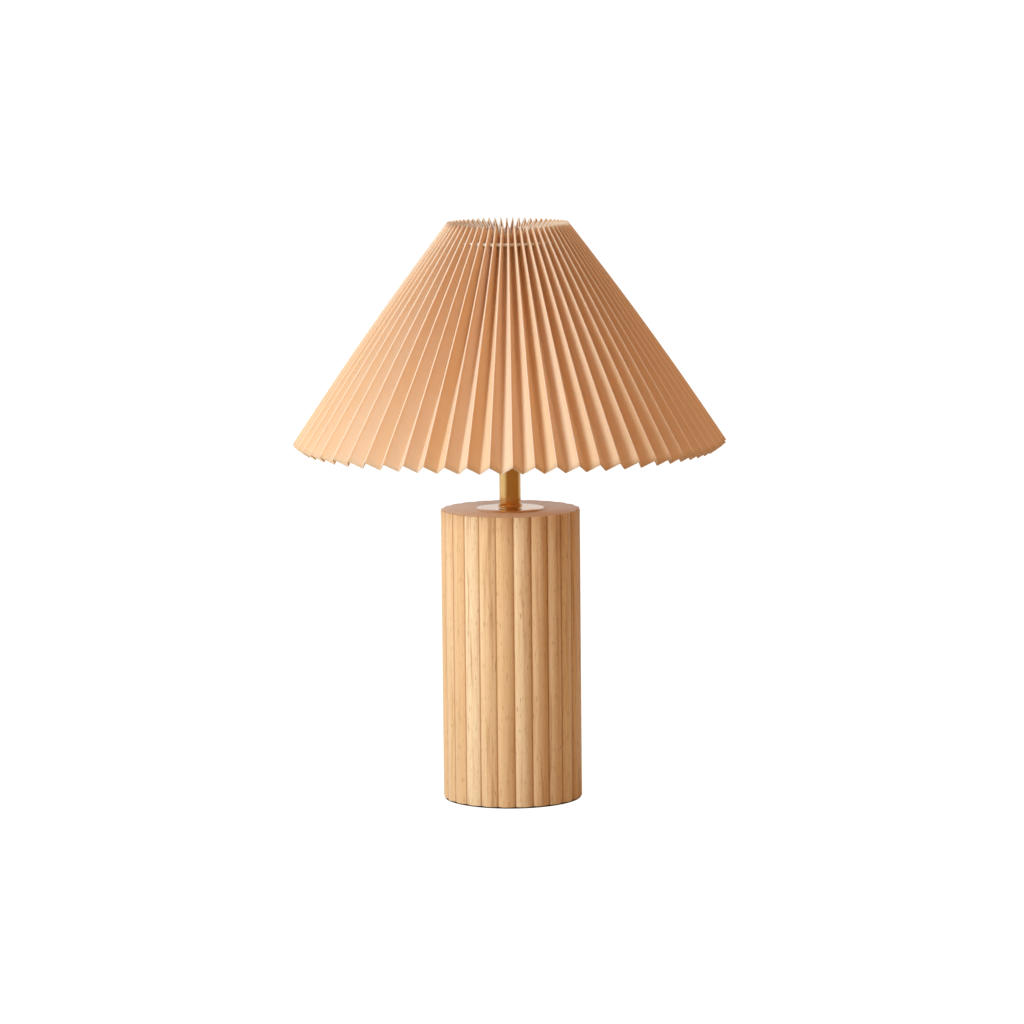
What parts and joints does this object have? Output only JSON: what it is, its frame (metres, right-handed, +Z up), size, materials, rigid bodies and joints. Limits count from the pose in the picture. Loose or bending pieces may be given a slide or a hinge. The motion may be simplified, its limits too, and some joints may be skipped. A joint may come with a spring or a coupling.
{
  "type": "table lamp",
  "caption": "Table lamp with a conical shade of pleated paper gathered by a drawstring, a brass stem and a reeded wood column.",
  "frame": {"origin": "centre of the underside of the foot pad, on the lamp's vertical axis", "axes": "+Z up along the column, stem and shade; -Y is the front and +Y the back, where the cord enters"},
  "size_m": [0.3716, 0.372, 0.4982],
  "materials": {
    "pad_felt": "matte",
    "column_wood": "satin oiled",
    "gland_plastic": "matte",
    "zinc_steel": "zinc plated",
    "disc_brass": "polished",
    "stem_brass": "satin",
    "holder_plastic": "satin",
    "core_ceramic": "unglazed",
    "contact_brass": "bright",
    "shade_paper": "matte",
    "string_cotton": "twisted cord",
    "frame_paint": "powder coated",
    "bulb_opal": "opal satin",
    "bulb_plastic": "gloss",
    "cap_nickel": "nickel plated",
    "bulb_glass_black": "glossy"
  },
  "bodies": {
    "stand": {"foot_pad": "pad_felt", "wood_column": "column_wood", "cord_gland": "gland_plastic", "bottom_washer": "zinc_steel", "lock_washer": "zinc_steel", "bottom_nut": "zinc_steel", "threaded_rod": "zinc_steel", "top_disc": "disc_brass", "stem_collar": "stem_brass", "stem_tube": "stem_brass", "stem_cap": "stem_brass", "holder_cap": "holder_plastic", "grub_screw": "zinc_steel", "holder_core": "core_ceramic", "terminal_screws": "contact_brass", "holder_shell": "holder_plastic", "socket_shell": "contact_brass", "centre_contact": "contact_brass"},
    "shade": {"shade_pleats": "shade_paper", "shade_string": "string_cotton", "fitter_ring": "frame_paint", "frame_top_ring": "frame_paint", "frame_bottom_ring": "frame_paint", "frame_arm_1": "frame_paint", "frame_arm_2": "frame_paint", "frame_arm_3": "frame_paint", "frame_arm_4": "frame_paint", "frame_upright_1": "frame_paint", "frame_upright_2": "frame_paint", "frame_upright_3": "frame_paint", "frame_upright_4": "frame_paint"},
    "shade_ring": {"shade_ring": "holder_plastic"},
    "bulb": {"bulb_globe": "bulb_opal", "bulb_housing": "bulb_plastic", "bulb_cap": "cap_nickel", "bulb_insulator": "bulb_glass_black", "bulb_contact": "cap_nickel"}
  },
  "joints": [
    {"name": "shade_turn", "type": "hinge", "parent": "stand", "child": "shade", "pos_m": [0, 0, 0.377], "axis": [0, 0, 1], "continuous": true},
    {"name": "shade_ring_turn", "type": "hinge", "parent": "stand", "child": "shade_ring", "pos_m": [0, 0, 0.383], "axis": [0, 0, 1], "continuous": true},
    {"name": "bulb_out", "type": "slide", "parent": "stand", "child": "bulb", "axis": [0, 0, 1], "range_m": [0, 0.14]}
  ]
}
